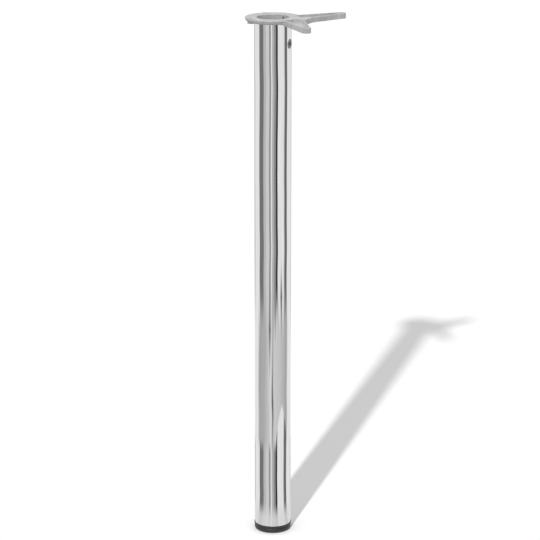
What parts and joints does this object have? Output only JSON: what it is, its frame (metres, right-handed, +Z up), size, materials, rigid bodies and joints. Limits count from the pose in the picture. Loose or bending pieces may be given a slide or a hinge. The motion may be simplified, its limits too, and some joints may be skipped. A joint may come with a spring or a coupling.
{
  "type": "height adjustable table leg",
  "caption": "Round chromed steel table leg with a cast corner plate on a spigot, held by a clamp screw, and a black screw foot for levelling.",
  "frame": {"origin": "on the floor at the middle of the foot's underside, on the tube's axis", "axes": "+Z up along the tube, +X midway between the plate's two arms and along the clamp screw"},
  "size_m": [0.1398, 0.1666, 0.87],
  "materials": {
    "plate_casting": "silver-grey tumbled die casting",
    "tube_chrome": "bright chrome plate",
    "screw_steel": "bright zinc plate",
    "black_plastic": "fine moulded black",
    "zinc_steel": "bright zinc plate"
  },
  "bodies": {
    "leg": {"mounting_plate": "plate_casting", "leg_tube": "tube_chrome", "end_plug": "black_plastic", "plug_nut": "zinc_steel"},
    "spindle": {"foot_spindle": "zinc_steel"},
    "foot": {"foot_disc": "black_plastic"},
    "clamp": {"clamp_screw": "screw_steel"}
  },
  "joints": [
    {"name": "foot_travel", "type": "slide", "parent": "leg", "child": "spindle", "axis": [0, 0, -1], "range_m": [0, 0.02]},
    {"name": "foot_turn", "type": "hinge", "parent": "spindle", "child": "foot", "pos_m": [0, 0, 0], "axis": [0, 0, -1], "range_deg": [0, 4800]},
    {"name": "clamp_release", "type": "slide", "parent": "leg", "child": "clamp", "axis": [1, 0, 0], "range_m": [0, 0.01]}
  ],
  "couplings": [
    {"joint": "foot_travel", "follows": "foot_turn", "m_per_rad": 0.0002387}
  ]
}
